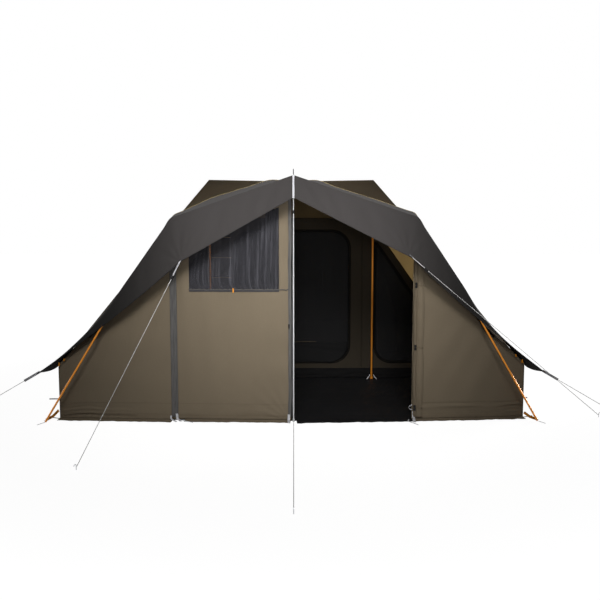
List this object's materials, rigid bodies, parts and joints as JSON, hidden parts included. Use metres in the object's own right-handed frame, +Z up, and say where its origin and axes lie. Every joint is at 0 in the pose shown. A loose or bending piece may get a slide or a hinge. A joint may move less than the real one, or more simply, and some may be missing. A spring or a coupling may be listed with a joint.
{
  "type": "family tent",
  "caption": "Polycotton family tent with tipi-like slopes, a hooded protector sheet over an orange tube arch, a door leaf with a mesh window and a sleeping compartment.",
  "frame": {"origin": "centre of the tent's footprint on the ground, guylines, runners and pegs left out", "axes": "+X to the right of someone facing the doorway, +Y from the doorway to the back, +Z up"},
  "size_m": [6.5344, 6.4182, 2.4759],
  "materials": {
    "polycotton": "matt sand-brown woven polycotton",
    "coated_polyester": "satin charcoal-grey coated polyester",
    "inner_fabric": "matt dark breathable fabric",
    "insect_net": "fine black insect net",
    "window_net": "fine charcoal window net",
    "groundsheet": "black coated groundsheet cloth",
    "orange_tube": "orange anodised tube",
    "orange_webbing": "orange webbing",
    "steel": "bright steel",
    "light_webbing": "light grey webbing",
    "guyline_cord": "light grey braided cord",
    "black_plastic": "black moulded plastic"
  },
  "bodies": {
    "tent": {"roof_front": "polycotton", "roof_left": "polycotton", "roof_right": "polycotton", "roof_back_left": "polycotton", "roof_back_right": "polycotton", "roof_rear": "polycotton", "wall_front_left": "polycotton", "wall_front_right": "polycotton", "wall_back_left": "polycotton", "wall_back_right": "polycotton", "wall_rear": "polycotton", "front_panel_left": "polycotton", "front_panel_right": "polycotton", "door_gable": "polycotton", "door_leaf_right_rolled": "polycotton", "protector_sheet": "coated_polyester", "zip_cover_left": "coated_polyester", "inner_front_wall": "inner_fabric", "inner_roof": "inner_fabric", "inner_wall_left": "inner_fabric", "inner_wall_right": "inner_fabric", "inner_wall_rear": "inner_fabric", "organiser": "inner_fabric", "groundsheet": "groundsheet", "side_leg_left": "orange_tube", "side_leg_right": "orange_tube", "top_rail_left": "orange_tube", "top_rail_right": "orange_tube", "shoulder_sleeve_left": "orange_tube", "shoulder_sleeve_right": "orange_tube", "main_pole_lower_left": "orange_tube", "main_pole_lower_right": "orange_tube", "main_pole_upper_left": "orange_tube", "main_pole_upper_right": "orange_tube", "foot_strap_left": "orange_webbing", "foot_strap_right": "orange_webbing", "front_pole": "steel", "peg_centre": "steel", "peg_left": "steel", "peg_right": "steel", "peg_tip_left": "steel", "peg_tip_right": "steel", "centre_strap": "light_webbing", "guyline_centre": "guyline_cord", "guyline_left": "guyline_cord", "guyline_right": "guyline_cord", "guyline_tip_left": "guyline_cord", "guyline_tip_right": "guyline_cord", "peak_hub": "black_plastic"},
    "door_leaf": {"door_leaf_left": "polycotton", "door_window_net": "window_net", "closing_flap": "coated_polyester"},
    "zip_slider": {"door_zip_slider": "black_plastic"},
    "inner_centre": {"inner_door_centre": "insect_net"},
    "inner_left": {"inner_door_left": "insect_net"},
    "inner_right": {"inner_door_right": "insect_net"},
    "line_runner_centre": {"runner_centre": "black_plastic"},
    "line_runner_left": {"runner_left": "black_plastic"},
    "line_runner_right": {"runner_right": "black_plastic"}
  },
  "joints": [
    {"name": "door_leaf_left_swing", "type": "hinge", "parent": "tent", "child": "door_leaf", "pos_m": [-1.165, -1.9155, 1], "axis": [0, 0, 1], "range_deg": [0, 85]},
    {"name": "door_zip_travel", "type": "slide", "parent": "door_leaf", "child": "zip_slider", "axis": [0, 0, 1], "range_m": [-0.84, 1.08]},
    {"name": "inner_centre_swing", "type": "hinge", "parent": "tent", "child": "inner_centre", "pos_m": [-0.7147, 0.0735, 1], "axis": [0, 0, -1], "range_deg": [0, 85]},
    {"name": "inner_left_swing", "type": "hinge", "parent": "tent", "child": "inner_left", "pos_m": [-1.0353, 0.0735, 0.9], "axis": [0, 0, 1], "range_deg": [0, 85]},
    {"name": "inner_right_swing", "type": "hinge", "parent": "tent", "child": "inner_right", "pos_m": [1.0353, 0.0735, 0.9], "axis": [0, 0, -1], "range_deg": [0, 85]},
    {"name": "runner_centre_travel", "type": "slide", "parent": "tent", "child": "line_runner_centre", "axis": [-0.0014, -0.6876, -0.7261], "range_m": [0, 1.5]},
    {"name": "runner_left_travel", "type": "slide", "parent": "tent", "child": "line_runner_left", "axis": [-0.3076, -0.5825, -0.7524], "range_m": [0, 1.2]},
    {"name": "runner_right_travel", "type": "slide", "parent": "tent", "child": "line_runner_right", "axis": [0.7698, 0.1203, -0.6268], "range_m": [0, 1.2]}
  ]
}
